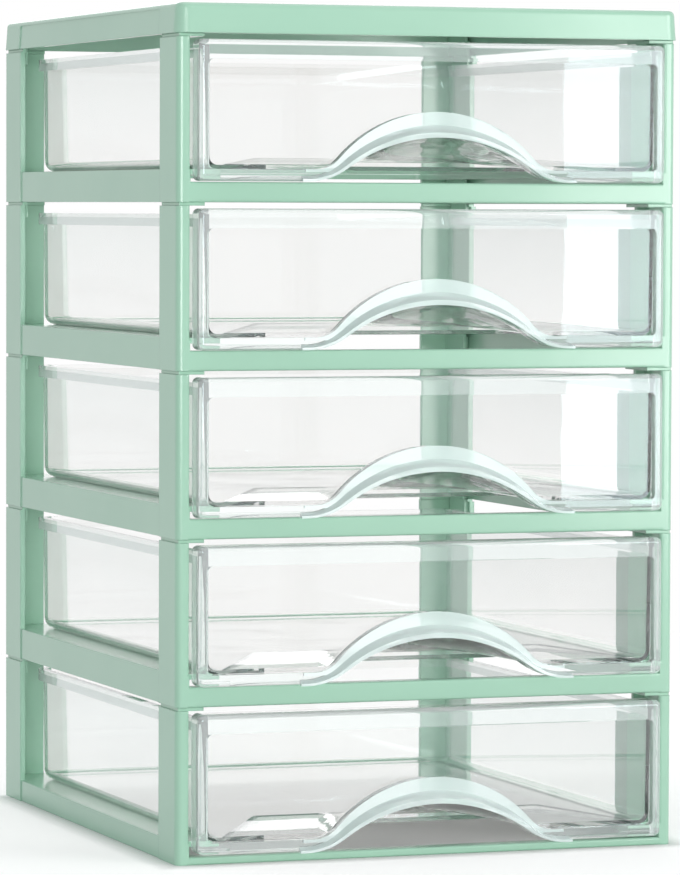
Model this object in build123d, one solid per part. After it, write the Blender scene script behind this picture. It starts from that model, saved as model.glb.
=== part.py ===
from build123d import *
import math
import os

os.makedirs("parts", exist_ok=True)

# Plastic drawer tower: a base frame, four tier frames and a cover plugged on top of
# each other, and five clear drawers that slide out towards -Y.
# Millimetres. X across the front, Y to the back, Z up; origin under the middle.

# ---- tower ----
WIDTH = 192.0             # outside of the frames, left to right
DEPTH = 223.0             # front rail to back edge of the frames
PITCH = 60.0              # height of one tier
BASE_HEIGHT = 56.4        # the base tier is shorter than the others
TIERS = 5
COVER_HEIGHT = 10.8
HANDLE_REACH = 10.4       # the handle lip stands this far in front of the frames

# ---- frame mouldings ----
WALL = 2.0
CORNER_RADIUS = 2.4
LEDGE_TOP = 11.8          # runner ledge above the underside of a tier frame
BASE_LEDGE_TOP = 8.2
RAIL_DROP = 4.5           # the front rail is this much lower than the ledges
BASE_RAIL_DROP = 5.4
LEDGE_WIDTH = 16.5
LEDGE_THICK = 2.0
LEDGE_START = 3.2         # front end of the ledges, which stops a closed drawer
FRONT_SHELF = 6.0
REAR_STRIP = 7.0
OPENING_RADIUS = 5.0
SIDE_RECESS = 0.4         # side rail face behind the corner blocks
EDGE_ROUND = 0.8

# ---- posts ----
FRONT_LEG = 21.0
FRONT_LIP = 4.8
LIP_ROUND = 1.2           # rounding of the lip's free edge
FRONT_FLANGE = 8.9        # turned in behind the leg, beside the drawer
FLANGE_TOP = 7.1          # narrower above this, beside the drawer's rim
GUIDE_WALL = 1.6          # the flange's end runs on backwards as a drawer guide
GUIDE_BACK = 30.0
CAP_WIDTH = 10.4          # thin plate that closes the top of a front post
BACK_LEG = 22.5
BACK_WING = 15.6
NECK_HEIGHT = 1.2
NECK_INSET = 0.8
NECK_WALL = 2.2
PLUG_RISE = 6.0
PLUG_ROOT = 6.0
PLUG_WALL = 1.4
PLUG_SETBACK = 4.0        # tongues end this far short of the post's edges
PLUG_REAR_SETBACK = 2.0
FIT_GAP = 0.2
SOCKET_RIB = 1.2
SOCKET_START = 3.0

# ---- cover ----
COVER_SIDE = 0.75         # overhang of the skirt's lower edge
COVER_FRONT = 2.0
COVER_BACK = 0.4
COVER_WALL = 2.4
COVER_TOP = 2.2
COVER_DRAFT = 4.0
COVER_RADIUS = 5.0
COVER_ROUND = 2.0

# ---- drawers; heights are above the underside of the drawer floor ----
SHEET = 1.5               # wall of the clear mouldings
TUB_SIDE = 9.8            # outside of the frame to the drawer's side, at the floor
TUB_REAR = 205.2          # front of the frame to the drawer's back, at the floor
TUB_HEIGHT = 44.0
TUB_FLARE = 0.5
TUB_RADIUS = 6.0
FLOOR_RADIUS = 4.5        # rounding between the floor and the walls
RIM_DEPTH = 4.5
RIM_OUT = 1.8
RIM_LIP = 1.0
RIM_CLEARANCE = 0.6
PANEL_SIDE = 6.5          # outside of the frame to the panel's edge
PANEL_BOTTOM = -4.25
PANEL_TOP = 46.05
PANEL_FRONT = -6.0        # front border of the panel, from the frame's front
PANEL_BACK = 2.9
PANEL_RADIUS = 2.2
PANEL_ROUND = 2.0
BORDER_SIDE = 3.3
WINDOW_BOTTOM = 0.1
WINDOW_TOP = 39.1
WINDOW_FRONT = -2.7
WINDOW_BACK = -1.2
WINDOW_RADIUS = 2.0

# ---- arch handle: crest height, crest radius, foot radius and foot height ----
ARCH_OUTER = (20.95, 50.0, 12.0, 0.1)
ARCH_GROOVE = (17.7, 54.0, 18.0, -2.0)
ARCH_EDGE = (13.5, 60.0, 24.0, -3.4)
ARCH_OPENING = (11.7, 62.0, 25.0, -4.25)
BEAD_FRONT = -6.9
LIP_ROOT = -5.0

# ---- finger pocket under the arch ----
POCKET_FLOOR_HALF = 80.0
POCKET_RIDGE_HALF = 56.0
POCKET_RIDGE_Y = 33.0
POCKET_RIDGE_TOP = 4.4
POCKET_SIDE_TOP = 1.7

FRONT = (HANDLE_REACH - DEPTH - COVER_BACK) / 2     # Y of the frames' front face
HALF = WIDTH / 2


def block(x0, x1, y0, y1, z0, z1):
    """Box between two corners; y is measured back from the frames' front face."""
    size = (x1 - x0, y1 - y0, z1 - z0)
    middle = ((x0 + x1) / 2, (y0 + y1) / 2, (z0 + z1) / 2)
    return Pos(*middle) * Box(*size)


def rounded_block(half, y0, y1, z0, z1, radius, taper=0):
    """Block centred on X with rounded upright corners."""
    outline = RectangleRounded(2 * half, y1 - y0, radius)
    solid = extrude(outline, amount=z1 - z0, taper=taper)
    return Pos(0, (y0 + y1) / 2, z0) * solid


def both_sides(right):
    """The right-hand solid and its mirror image on the left."""
    return right + mirror(right, about=Plane.YZ)


def post_section(extra, z0, z1):
    """Right-hand front and back posts: a channel and an angle, open to the inside."""
    wall = WALL + extra
    web = block(HALF - wall, HALF, 0, FRONT_LEG, z0, z1)
    lip = block(HALF - FRONT_LIP, HALF, 0, wall, z0, z1)
    free_edge = lip.edges().filter_by(Axis.Z).sort_by(lambda edge: edge.center().X + edge.center().Y)[0]
    lip = fillet(free_edge, LIP_ROUND)
    flange = block(HALF - FLANGE_TOP, HALF, FRONT_LEG - wall, FRONT_LEG, z0, z1)
    back_web = block(HALF - wall, HALF, DEPTH - BACK_LEG, DEPTH, z0, z1)
    back_wing = block(HALF - BACK_WING, HALF, DEPTH - wall, DEPTH, z0, z1)
    return web + lip + flange + back_web + back_wing


def guide(seat):
    """Right-hand guide beside a drawer that stands on `seat`: it ends below the rim."""
    top = seat + TUB_HEIGHT - RIM_DEPTH - RIM_CLEARANCE
    inner = HALF - FRONT_FLANGE
    across = block(inner, HALF, FRONT_LEG - WALL, FRONT_LEG, 0, top)
    back = block(inner, inner + GUIDE_WALL, FRONT_LEG - WALL, GUIDE_BACK, 0, top)
    return across + back


def plug_section(outer, z0, z1):
    """Right-hand plug tongues inside the post walls, from x = HALF - outer inwards."""
    inner = HALF - WALL - FIT_GAP - PLUG_WALL
    front = block(inner, HALF - outer, PLUG_SETBACK, FRONT_LEG - PLUG_SETBACK, z0, z1)
    back = block(inner, HALF - outer, DEPTH - BACK_LEG + PLUG_REAR_SETBACK,
                 DEPTH - PLUG_SETBACK, z0, z1)
    return front + back


def posts(top, seat):
    """Four posts that rise to `top`, each with its neck and its plug."""
    shaft_top = top - NECK_HEIGHT
    outline = rounded_block(HALF, 0, DEPTH, 0, shaft_top, CORNER_RADIUS)
    inset = rounded_block(HALF - NECK_INSET, NECK_INSET, DEPTH - NECK_INSET,
                          shaft_top, top, CORNER_RADIUS - NECK_INSET)
    shafts = both_sides(post_section(0, 0, shaft_top)) & outline
    necks = both_sides(post_section(NECK_WALL - WALL + NECK_INSET, shaft_top, top)) & inset
    roots = both_sides(plug_section(WALL / 2, top - PLUG_ROOT, top))
    tongues = both_sides(plug_section(WALL + FIT_GAP, top, top + PLUG_RISE))
    caps = both_sides(block(HALF - CAP_WIDTH, HALF - NECK_INSET, NECK_INSET, FRONT_LEG,
                            shaft_top, top))
    return shafts + necks + roots + tongues + caps + both_sides(guide(seat))


def sockets(z1):
    """Ribs beside the plug tongues of the piece below."""
    outer = HALF - WALL - 2 * FIT_GAP - PLUG_WALL
    inner = outer - SOCKET_RIB
    front = block(inner, outer, SOCKET_START, FRONT_LEG - WALL, 0, z1)
    back = block(inner, outer, DEPTH - BACK_LEG, DEPTH - WALL, 0, z1)
    return both_sides(front + back)


def ring(ledge_top, is_base):
    """Side walls, runner ledges, low front rail and thin rear strip of one tier."""
    rail_top = ledge_top - (BASE_RAIL_DROP if is_base else RAIL_DROP)
    under = ledge_top - LEDGE_THICK
    body = rounded_block(HALF, 0, DEPTH, 0, ledge_top, CORNER_RADIUS)
    body -= block(WALL - HALF, HALF - WALL, WALL, DEPTH + 1, -1, under)
    body -= block(FRONT_LIP - HALF, HALF - FRONT_LIP, -1, LEDGE_START, rail_top, ledge_top + 1)
    hole = rounded_block(HALF - LEDGE_WIDTH, -DEPTH, DEPTH - REAR_STRIP,
                         under - 1, ledge_top + 1, OPENING_RADIUS)
    body -= hole & block(-HALF, HALF, WALL, DEPTH, under - 1, ledge_top + 1)
    front_edges = body.edges().filter_by(Axis.X).group_by(Axis.Y)[0]
    body = fillet(front_edges, EDGE_ROUND)
    recess = block(HALF - SIDE_RECESS, HALF + 1, FRONT_LEG, DEPTH - BACK_LEG, -1, ledge_top + 1)
    body -= both_sides(recess)
    shelf_thick = min(LEDGE_THICK, rail_top - EDGE_ROUND)
    body += block(FRONT_LIP - HALF, HALF - FRONT_LIP, WALL / 2, FRONT_SHELF,
                  rail_top - shelf_thick, rail_top)
    if not is_base:
        body += sockets(under)
    return body


def tier_frame(height, ledge_top, is_base=False):
    """One open frame: the ring and the four posts that rise from it."""
    return ring(ledge_top, is_base) + posts(height, ledge_top)


def cover():
    """Shallow tray turned over, with a drafted skirt and sockets in its corners."""
    half = HALF + COVER_SIDE
    back = DEPTH + COVER_BACK
    shell = rounded_block(half, -COVER_FRONT, back, 0, COVER_HEIGHT, COVER_RADIUS, COVER_DRAFT)
    shell = fillet(shell.faces().sort_by(Axis.Z)[-1].edges(), COVER_ROUND)
    hollow = rounded_block(half - COVER_WALL, COVER_WALL - COVER_FRONT, back - COVER_WALL,
                           0, COVER_HEIGHT - COVER_TOP, COVER_RADIUS - COVER_WALL, COVER_DRAFT)
    shell -= hollow
    recess = block(half - SIDE_RECESS, half + 1, FRONT_LEG, DEPTH - BACK_LEG, -1, COVER_HEIGHT)
    tilt = math.tan(math.radians(COVER_DRAFT))
    slope = Pos(half - SIDE_RECESS, 0, 0) * Rot(0, -COVER_DRAFT, 0) * Pos(SIDE_RECESS - half, 0, 0)
    shell -= both_sides(slope * recess) & block(-half - 1, half + 1, 0, DEPTH, -1,
                                                COVER_HEIGHT - COVER_ROUND * (1 - tilt))
    return shell + sockets(COVER_HEIGHT - COVER_TOP / 2)


def arch_curve(crest, radius, foot_radius, foot):
    """Half an arch: where its foot arc leaves the foot line and meets the crest arc."""
    reach = radius + foot_radius
    drop = foot + foot_radius - crest + radius
    foot_x = math.sqrt(reach ** 2 - drop ** 2)
    join_x = foot_x * radius / reach
    join_z = crest - radius + drop * radius / reach
    turn = (math.acos(drop / reach)) / 2
    mid_x = foot_x - foot_radius * math.sin(turn)
    mid_z = foot + foot_radius - foot_radius * math.cos(turn)
    return foot_x, (join_x, join_z), (mid_x, mid_z)


def arch_edges(arch, y):
    """The arch from its left foot to its right foot, as three tangent arcs at depth y."""
    foot_x, (join_x, join_z), (mid_x, mid_z) = arch_curve(*arch)
    crest, foot = arch[0], arch[3]
    left = ThreePointArc((-foot_x, y, foot), (-mid_x, y, mid_z), (-join_x, y, join_z))
    middle = ThreePointArc((-join_x, y, join_z), (0, y, crest), (join_x, y, join_z))
    right = ThreePointArc((join_x, y, join_z), (mid_x, y, mid_z), (foot_x, y, foot))
    return [left, middle, right]


def arch_face(arch, y, half, base):
    """Area under an arch that runs out level to +-half, down to z = base."""
    foot_x = arch_curve(*arch)[0]
    foot = arch[3]
    corners = [(foot_x, y, foot), (half, y, foot), (half, y, base),
               (-half, y, base), (-half, y, foot), (-foot_x, y, foot)]
    sides = [Line(a, b) for a, b in zip(corners, corners[1:])]
    return make_face(arch_edges(arch, y) + sides)


def ramp_face(arch, y, half, top, base):
    """Low rectangle at the pocket's ridge, cut into the same edges as arch_face."""
    foot_x, (join_x, _), _ = arch_curve(*arch)
    scale = half / POCKET_FLOOR_HALF
    stops = [-foot_x * scale, -join_x * scale, join_x * scale, foot_x * scale, half]
    points = [(x, y, top) for x in stops] + [(half, y, base), (-half, y, base), (-half, y, top)]
    points.append(points[0])
    return make_face([Line(a, b) for a, b in zip(points, points[1:])])


def under_arch(arch, y0, y1, base):
    """Everything below an arch, between two depths."""
    foot_x = arch_curve(*arch)[0]
    face = arch_face(arch, y0, foot_x + 4, base)
    return extrude(face, amount=y1 - y0, dir=(0, 1, 0))


def handle():
    """Arched bead with a lip that reaches forward and down over the opening."""
    base = ARCH_OPENING[3]
    band = under_arch(ARCH_OUTER, BEAD_FRONT, WINDOW_BACK, WINDOW_BOTTOM - 1)
    root = arch_face(ARCH_GROOVE, LIP_ROOT, arch_curve(*ARCH_GROOVE)[0] + 2, base)
    edge = arch_face(ARCH_EDGE, -HANDLE_REACH, arch_curve(*ARCH_EDGE)[0] + 2, base)
    return band + loft([root, edge], ruled=True)


def pocket(shrink, y0):
    """Ramp from the arch back to a low ridge on the drawer floor."""
    crest, radius, foot_radius, _ = ARCH_OPENING
    top = POCKET_SIDE_TOP - shrink
    arch = (crest + SHEET - shrink, radius + SHEET - shrink, foot_radius, top)
    base = top - 1.0 if shrink == 0 else PANEL_BOTTOM - 1
    front = arch_face(arch, y0, POCKET_FLOOR_HALF - shrink, base)
    ridge = ramp_face(arch, POCKET_RIDGE_Y - shrink, POCKET_RIDGE_HALF - shrink,
                      POCKET_RIDGE_TOP - shrink, base)
    return loft([front, ridge], ruled=True)


def tub(shrink, y0, z0, z1):
    """Open box of the drawer: the outer form, or with shrink the space inside."""
    flare = math.degrees(math.atan2(TUB_FLARE, TUB_HEIGHT))
    half = HALF - TUB_SIDE - shrink
    rear = TUB_REAR - shrink
    solid = rounded_block(half, -DEPTH, rear, 0, z1 - z0, TUB_RADIUS - shrink, -flare)
    solid = fillet(solid.faces().sort_by(Axis.Z)[0].edges(), FLOOR_RADIUS - shrink)
    return Pos(0, 0, z0) * solid & block(-HALF, HALF, y0, DEPTH, z0, z1)


def rim():
    """Flange round the top of the drawer with its edge turned down."""
    outer_half = HALF - TUB_SIDE + TUB_FLARE + RIM_OUT
    rear = TUB_REAR + TUB_FLARE + RIM_OUT
    radius = TUB_RADIUS + RIM_OUT
    low = TUB_HEIGHT - RIM_DEPTH
    band = rounded_block(outer_half, -DEPTH, rear, low, TUB_HEIGHT, radius)
    band -= rounded_block(outer_half - RIM_LIP, -DEPTH, rear - RIM_LIP, low,
                          TUB_HEIGHT - SHEET, radius - RIM_LIP)
    return band & block(-HALF, HALF, WINDOW_FRONT, DEPTH, low, TUB_HEIGHT)


def panel():
    """Front of the drawer: a sheet with a raised border and a turned-back edge."""
    half = HALF - PANEL_SIDE
    depth = PANEL_BACK - PANEL_FRONT
    height = PANEL_TOP - PANEL_BOTTOM
    middle = (PANEL_BOTTOM + PANEL_TOP) / 2
    upright = Plane(origin=(0, PANEL_BACK, middle), z_dir=(0, -1, 0), x_dir=(1, 0, 0))
    plate = extrude(upright * RectangleRounded(2 * half, height, PANEL_RADIUS), amount=depth)
    plate = fillet(plate.faces().sort_by(Axis.Y)[0].edges(), PANEL_ROUND)
    window_middle = (WINDOW_BOTTOM + WINDOW_TOP) / 2
    face = Plane(origin=(0, WINDOW_FRONT, window_middle), z_dir=(0, -1, 0), x_dir=(1, 0, 0))
    window = RectangleRounded(2 * (half - BORDER_SIDE), WINDOW_TOP - WINDOW_BOTTOM, WINDOW_RADIUS)
    plate -= extrude(face * window, amount=HANDLE_REACH)
    plate -= block(SHEET - half, half - SHEET, WINDOW_BACK, PANEL_BACK + 1,
                   PANEL_BOTTOM + SHEET, PANEL_TOP - SHEET)
    return plate


def drawer():
    """One clear drawer in a single moulding."""
    shell = panel() + rim() + tub(0, WINDOW_FRONT, 0, TUB_HEIGHT)
    shell -= tub(SHEET, WINDOW_BACK, SHEET, TUB_HEIGHT + 1)
    shell += pocket(0, WINDOW_FRONT + 0.5) + handle()
    shell -= pocket(SHEET, WINDOW_BACK)
    shell -= under_arch(ARCH_OPENING, -HANDLE_REACH - 1, WINDOW_BACK + 0.1, PANEL_BOTTOM - 1)
    return shell


def place(shape, z):
    """Move a shape from the frames' front face to its place in the tower."""
    return Pos(0, FRONT, z) * shape


base_frame = place(tier_frame(BASE_HEIGHT, BASE_LEDGE_TOP, is_base=True), 0)
export_step(base_frame, "parts/base_frame.step")

tier = tier_frame(PITCH, LEDGE_TOP)
for level in range(2, TIERS + 1):
    seam = BASE_HEIGHT + (level - 2) * PITCH
    export_step(place(tier, seam), f"parts/tier_frame_{level}.step")

cover_seam = BASE_HEIGHT + (TIERS - 1) * PITCH
export_step(place(cover(), cover_seam), "parts/top_cover.step")

clear_drawer = drawer()
for level in range(1, TIERS + 1):
    seat = BASE_LEDGE_TOP if level == 1 else BASE_HEIGHT + (level - 2) * PITCH + LEDGE_TOP
    export_step(place(clear_drawer, seat), f"parts/drawer_{level}.step")
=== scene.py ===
import math

import bpy
from mathutils import Matrix, Vector


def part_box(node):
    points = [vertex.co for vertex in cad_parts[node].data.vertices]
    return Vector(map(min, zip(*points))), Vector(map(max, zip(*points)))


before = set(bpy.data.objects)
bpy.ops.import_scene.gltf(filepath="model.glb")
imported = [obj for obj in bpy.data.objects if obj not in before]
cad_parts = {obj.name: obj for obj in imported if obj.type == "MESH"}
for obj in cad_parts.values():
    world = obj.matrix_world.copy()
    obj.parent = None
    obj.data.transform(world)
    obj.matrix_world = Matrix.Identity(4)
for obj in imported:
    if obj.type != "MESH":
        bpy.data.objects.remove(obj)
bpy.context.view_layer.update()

# Camera: metres and degrees. Yaw turns it from +Y towards +X, pitch lifts it.
CAMERA_PLACE = (-0.6273, -1.7500, 0.2347)
CAMERA_YAW = 19.833
CAMERA_PITCH = -2.704
CAMERA_ROLL = 0.206
CAMERA_LENS = 200.3
SENSOR = 36.0

FRAME_NODES = ["base_frame", "tier_frame_2", "tier_frame_3", "tier_frame_4",
               "tier_frame_5", "top_cover"]
DRAWER_NODES = ["drawer_1", "drawer_2", "drawer_3", "drawer_4", "drawer_5"]

# Linear colours.
MINT = (0.352, 0.588, 0.449, 1.0)
MINT_DEEP = (0.328, 0.562, 0.427, 1.0)
CLEAR = (0.970, 0.970, 0.965, 1.0)
CLEAR_COOL = (0.955, 0.960, 0.955, 1.0)
CLEAR_SHINE = (0.78, 0.95, 1.0, 1.0)
THICK_TINT = (0.87, 0.98, 0.96, 1.0)
LAMP_PASS = (0.99, 0.99, 0.99, 1.0)
FLOOR_PALE = (0.82, 0.82, 0.81, 1.0)
WHITE = (1.0, 1.0, 1.0, 1.0)
WORLD_SOFT = (0.90, 0.93, 0.95, 1.0)

# Surfaces: ranges from the smooth patches of the noise to the rough ones, and metres.
MINT_ROUGH = (0.13, 0.18)
MINT_IOR = 1.58
MINT_EDGE = 0.0006
CLEAR_ROUGH = (0.0, 0.03)
CLEAR_IOR = 1.5
FLOW_MARKS = 22.0            # noise cells to the metre
FINE_GRAIN = 900.0
CLEAR_WAVES = 30.0
WORLD_STRENGTH = 0.53
MANY_BOUNCES = 96

# Floor, metres from the tower's foot: the added glow and the share of plain white.
FLOOR_HALF = 6.0
GLOW = 0.40
GLOW_ZONE = (0.0, 0.01)
WHITE_ZONE = (0.10, 0.60)

# Name, place, aim, size and watts. The lamps aren't seen by the camera or through glass.
SOFTBOXES = [
    ("softbox_right", (0.80, -1.05, 0.30), (0, -0.1, 0.30), (0.70, 0.52), 7),
    ("softbox_front", (-0.75, -1.65, 0.32), (0, 0, 0.17), (0.8, 0.5), 10),
    ("softbox_back", (0.5, 1.7, 0.8), (0, 0, 0.15), (1.0, 1.0), 4),
    ("softbox_top", (0, 0.2, 1.8), (0, 0, 0.15), (1.6, 1.6), 7),
]

# Share of the light that goes through the clear plastic; the rest scatters as haze.
THIN_CLEAR = 0.985
THICK_CLEAR = 0.42
BORDER_SHARE = 0.42          # how far the border goes from thin to thick
WINDOW_SET_BACK = 0.0077     # from the handle's tip back to the window's face, metres
BORDER_SET_BACK = 0.0044     # and to the border's face
BORDER_WIDTH = 0.0033
STEP = 0.0008                # how softly one zone goes over into the next
FINE_STEP = 0.0006
CLEARANCE = 0.0002           # the zones end this far ahead of the face behind them


# ---------------------------------------------------------------- node helpers
class Tree:
    """A material's or world's node tree, with short ways to add and join nodes."""

    def __init__(self, owner):
        owner.use_nodes = True
        self.tree = owner.node_tree
        self.tree.nodes.clear()

    def add(self, kind, **settings):
        """A new node with the given properties."""
        node = self.tree.nodes.new(kind)
        for key, value in settings.items():
            setattr(node, key, value)
        return node

    def join(self, output, node, place):
        self.tree.links.new(output, node.inputs[place])


def noise(tree, scale, detail=2.0):
    """Noise in the object's own metres, `scale` cells to the metre."""
    place = tree.add("ShaderNodeTexCoord")
    node = tree.add("ShaderNodeTexNoise")
    node.inputs["Scale"].default_value = scale
    node.inputs["Detail"].default_value = detail
    tree.join(place.outputs["Object"], node, "Vector")
    return node.outputs["Fac"]


def spread(tree, value, low, high, start=0.3, end=0.7):
    """Map a value from start..end to low..high; most of a noise lies in 0.3..0.7."""
    node = tree.add("ShaderNodeMapRange")
    node.inputs["From Min"].default_value = start
    node.inputs["From Max"].default_value = end
    node.inputs["To Min"].default_value = low
    node.inputs["To Max"].default_value = high
    tree.join(value, node, "Value")
    return node.outputs["Result"]


def between(tree, share, first, second):
    """Mix two colours by a share; each is a colour or another node's output."""
    node = tree.add("ShaderNodeMix", data_type="RGBA")
    tree.join(share, node, 0)
    for place, value in ((6, first), (7, second)):
        if isinstance(value, bpy.types.NodeSocket):
            tree.join(value, node, place)
        else:
            node.inputs[place].default_value = value
    return node.outputs[2]


def bump(tree, height, strength, distance, normal=None):
    """A normal tilted by a height, on top of another normal if one is given."""
    node = tree.add("ShaderNodeBump")
    node.inputs["Strength"].default_value = strength
    node.inputs["Distance"].default_value = distance
    tree.join(height, node, "Height")
    if normal is not None:
        tree.join(normal, node, "Normal")
    return node.outputs["Normal"]


def math_node(tree, operation, first, second=None):
    """One arithmetic node; each input is a number or another node's output."""
    node = tree.add("ShaderNodeMath", operation=operation)
    for place, value in enumerate((first, second)):
        if isinstance(value, bpy.types.NodeSocket):
            tree.join(value, node, place)
        elif value is not None:
            node.inputs[place].default_value = value
    return node.outputs["Value"]


# ---------------------------------------------------------------- materials
def mint_plastic():
    """Glossy injection-moulded plastic: even colour, faint flow marks, soft edges."""
    mat = bpy.data.materials.new("mint_plastic")
    tree = Tree(mat)
    output = tree.add("ShaderNodeOutputMaterial")
    shader = tree.add("ShaderNodeBsdfPrincipled")
    broad = noise(tree, FLOW_MARKS, 3.0)
    fine = noise(tree, FINE_GRAIN)
    tree.join(between(tree, spread(tree, broad, 0, 1), MINT, MINT_DEEP), shader, "Base Color")
    tree.join(spread(tree, broad, *MINT_ROUGH), shader, "Roughness")
    bevel = tree.add("ShaderNodeBevel", samples=4)
    bevel.inputs["Radius"].default_value = MINT_EDGE
    tree.join(bump(tree, fine, 0.04, 0.0002, bevel.outputs["Normal"]), shader, "Normal")
    shader.inputs["IOR"].default_value = MINT_IOR
    tree.join(shader.outputs["BSDF"], output, "Surface")
    return mat


def thick_front(tree):
    """1 in the arch of a drawer's front, BORDER_SHARE in its border, 0 in its thin sheets."""
    place = tree.add("ShaderNodeTexCoord")
    split = tree.add("ShaderNodeSeparateXYZ")
    tree.join(place.outputs["Object"], split, "Vector")
    low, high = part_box("drawer_1")
    window = low.y + WINDOW_SET_BACK
    border = low.y + BORDER_SET_BACK
    depth = split.outputs["Y"]
    ahead = spread(tree, depth, BORDER_SHARE, 0.0, window - CLEARANCE - STEP, window - CLEARANCE)
    across = math_node(tree, "ABSOLUTE", split.outputs["X"])
    edge = high.x - BORDER_WIDTH
    aside = spread(tree, across, 0.0, BORDER_SHARE, edge, edge + FINE_STEP)
    front = border - CLEARANCE
    arch = spread(tree, depth, 1.0, 0.0, front - FINE_STEP, front)
    return math_node(tree, "MAXIMUM", math_node(tree, "MAXIMUM", ahead, aside), arch)


def clear_plastic():
    """Clear styrene: real glass, faintly hazy, more so where the front is thick."""
    mat = bpy.data.materials.new("clear_plastic")
    tree = Tree(mat)
    output = tree.add("ShaderNodeOutputMaterial")
    glass = tree.add("ShaderNodeBsdfPrincipled")
    thick = thick_front(tree)
    tree.join(spread(tree, thick, THIN_CLEAR, THICK_CLEAR, 0, 1), glass, "Transmission Weight")
    glass.inputs["IOR"].default_value = CLEAR_IOR
    glass.inputs["Specular Tint"].default_value = CLEAR_SHINE
    waves = noise(tree, CLEAR_WAVES)
    sheet = between(tree, spread(tree, waves, 0, 1), CLEAR, CLEAR_COOL)
    tree.join(between(tree, thick, sheet, THICK_TINT), glass, "Base Color")
    tree.join(spread(tree, waves, *CLEAR_ROUGH), glass, "Roughness")
    tree.join(bump(tree, waves, 0.03, 0.001), glass, "Normal")
    passing = tree.add("ShaderNodeBsdfTransparent")
    passing.inputs["Color"].default_value = LAMP_PASS
    path = tree.add("ShaderNodeLightPath")
    mix = tree.add("ShaderNodeMixShader")
    tree.join(path.outputs["Is Shadow Ray"], mix, 0)
    tree.join(glass.outputs["BSDF"], mix, 1)
    tree.join(passing.outputs["BSDF"], mix, 2)
    tree.join(mix.outputs["Shader"], output, "Surface")
    return mat


def seen_directly(tree):
    """1 for rays from the camera, a mirror or glass, and 0 for light that bounces."""
    path = tree.add("ShaderNodeLightPath")
    ray = math_node(tree, "MAXIMUM", path.outputs["Is Camera Ray"], path.outputs["Is Glossy Ray"])
    ray = math_node(tree, "MAXIMUM", ray, path.outputs["Is Transmission Ray"])
    first = math_node(tree, "LESS_THAN", path.outputs["Diffuse Depth"], 0.5)
    return math_node(tree, "MULTIPLY", ray, first)


def floor_material():
    """Pale floor that keeps the shadow; seen directly it lifts to white away from the tower."""
    mat = bpy.data.materials.new("floor_pale")
    tree = Tree(mat)
    output = tree.add("ShaderNodeOutputMaterial")
    place = tree.add("ShaderNodeNewGeometry")
    split = tree.add("ShaderNodeSeparateXYZ")
    tree.join(place.outputs["Position"], split, "Vector")
    low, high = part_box("base_frame")
    out_x = math_node(tree, "SUBTRACT", math_node(tree, "ABSOLUTE", split.outputs["X"]), high.x)
    out_y = math_node(tree, "SUBTRACT", math_node(tree, "ABSOLUTE", split.outputs["Y"]), -low.y)
    distance = math_node(tree, "MAXIMUM", out_x, out_y)
    seen = seen_directly(tree)
    near = math_node(tree, "MULTIPLY", spread(tree, distance, 0.0, GLOW, *GLOW_ZONE), seen)
    far = math_node(tree, "MULTIPLY", spread(tree, distance, 0.0, 1.0, *WHITE_ZONE), seen)
    diffuse = tree.add("ShaderNodeBsdfDiffuse")
    diffuse.inputs["Color"].default_value = FLOOR_PALE
    lift = tree.add("ShaderNodeEmission")
    lift.inputs["Color"].default_value = WHITE
    tree.join(near, lift, "Strength")
    both = tree.add("ShaderNodeAddShader")
    tree.join(diffuse.outputs["BSDF"], both, 0)
    tree.join(lift.outputs["Emission"], both, 1)
    white = tree.add("ShaderNodeEmission")
    white.inputs["Color"].default_value = WHITE
    white.inputs["Strength"].default_value = 1.0
    mix = tree.add("ShaderNodeMixShader")
    tree.join(far, mix, 0)
    tree.join(both.outputs["Shader"], mix, 1)
    tree.join(white.outputs["Emission"], mix, 2)
    tree.join(mix.outputs["Shader"], output, "Surface")
    return mat


def paint(nodes, material):
    """Give CAD nodes one material in every slot."""
    for name in nodes:
        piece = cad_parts[name]
        piece.data.materials.clear()
        piece.data.materials.append(material)


# ---------------------------------------------------------------- stage
def add_floor():
    """One large square at height 0."""
    half = FLOOR_HALF
    corners = [(-half, -half, 0), (half, -half, 0), (half, half, 0), (-half, half, 0)]
    mesh = bpy.data.meshes.new("floor")
    mesh.from_pydata(corners, [], [(0, 1, 2, 3)])
    floor = bpy.data.objects.new("floor", mesh)
    bpy.context.scene.collection.objects.link(floor)
    mesh.materials.append(floor_material())


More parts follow.
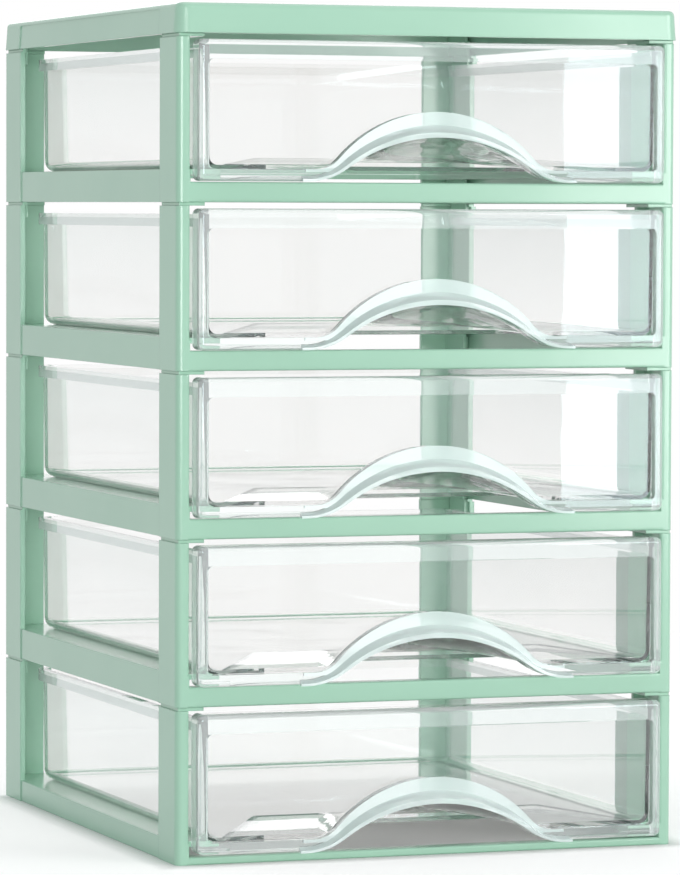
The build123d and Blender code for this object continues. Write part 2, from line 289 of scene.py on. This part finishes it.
def set_world():
    """Soft light from all round; seen directly it is white."""
    world = bpy.data.worlds.new("studio")
    bpy.context.scene.world = world
    tree = Tree(world)
    output = tree.add("ShaderNodeOutputWorld")
    soft = tree.add("ShaderNodeBackground")
    soft.inputs["Color"].default_value = WORLD_SOFT
    soft.inputs["Strength"].default_value = WORLD_STRENGTH
    white = tree.add("ShaderNodeBackground")
    white.inputs["Color"].default_value = WHITE
    white.inputs["Strength"].default_value = 1.0
    mix = tree.add("ShaderNodeMixShader")
    tree.join(seen_directly(tree), mix, 0)
    tree.join(soft.outputs["Background"], mix, 1)
    tree.join(white.outputs["Background"], mix, 2)
    tree.join(mix.outputs["Shader"], output, "Surface")


def add_softbox(name, place, aim, size, power):
    """Rectangular area lamp at `place` that points at `aim`."""
    lamp = bpy.data.lights.new(name, "AREA")
    lamp.shape = "RECTANGLE"
    lamp.size, lamp.size_y = size
    lamp.energy = power
    box = bpy.data.objects.new(name, lamp)
    bpy.context.scene.collection.objects.link(box)
    box.location = place
    direction = Vector(aim) - Vector(place)
    box.rotation_mode = "QUATERNION"
    box.rotation_quaternion = direction.to_track_quat("-Z", "Y")
    box.visible_camera = False
    box.visible_transmission = False


def add_camera():
    """The camera at the photograph's place and angle."""
    yaw, pitch, roll = (math.radians(a) for a in (CAMERA_YAW, CAMERA_PITCH, CAMERA_ROLL))
    forward = Vector((math.sin(yaw) * math.cos(pitch), math.cos(yaw) * math.cos(pitch),
                      math.sin(pitch)))
    level = Vector((math.cos(yaw), -math.sin(yaw), 0))
    upright = level.cross(forward)
    right = math.cos(roll) * level + math.sin(roll) * upright
    up = -math.sin(roll) * level + math.cos(roll) * upright
    data = bpy.data.cameras.new("camera")
    data.sensor_width = SENSOR
    data.lens = CAMERA_LENS
    camera = bpy.data.objects.new("camera", data)
    bpy.context.scene.collection.objects.link(camera)
    turn = Matrix((right, up, -forward)).transposed().to_4x4()
    camera.matrix_world = Matrix.Translation(Vector(CAMERA_PLACE)) @ turn
    bpy.context.scene.camera = camera


def set_paths():
    """Enough bounces for light through many clear sheets; mirrored caustics are off."""
    cycles = bpy.context.scene.cycles
    cycles.max_bounces = MANY_BOUNCES
    cycles.transmission_bounces = MANY_BOUNCES
    cycles.transparent_max_bounces = MANY_BOUNCES // 2
    cycles.glossy_bounces = MANY_BOUNCES
    cycles.diffuse_bounces = 4
    cycles.caustics_reflective = False
    cycles.caustics_refractive = True


paint(FRAME_NODES, mint_plastic())
paint(DRAWER_NODES, clear_plastic())

add_floor()
set_world()
for softbox in SOFTBOXES:
    add_softbox(*softbox)
add_camera()
set_paths()
bpy.context.scene.view_settings.view_transform = "Standard"
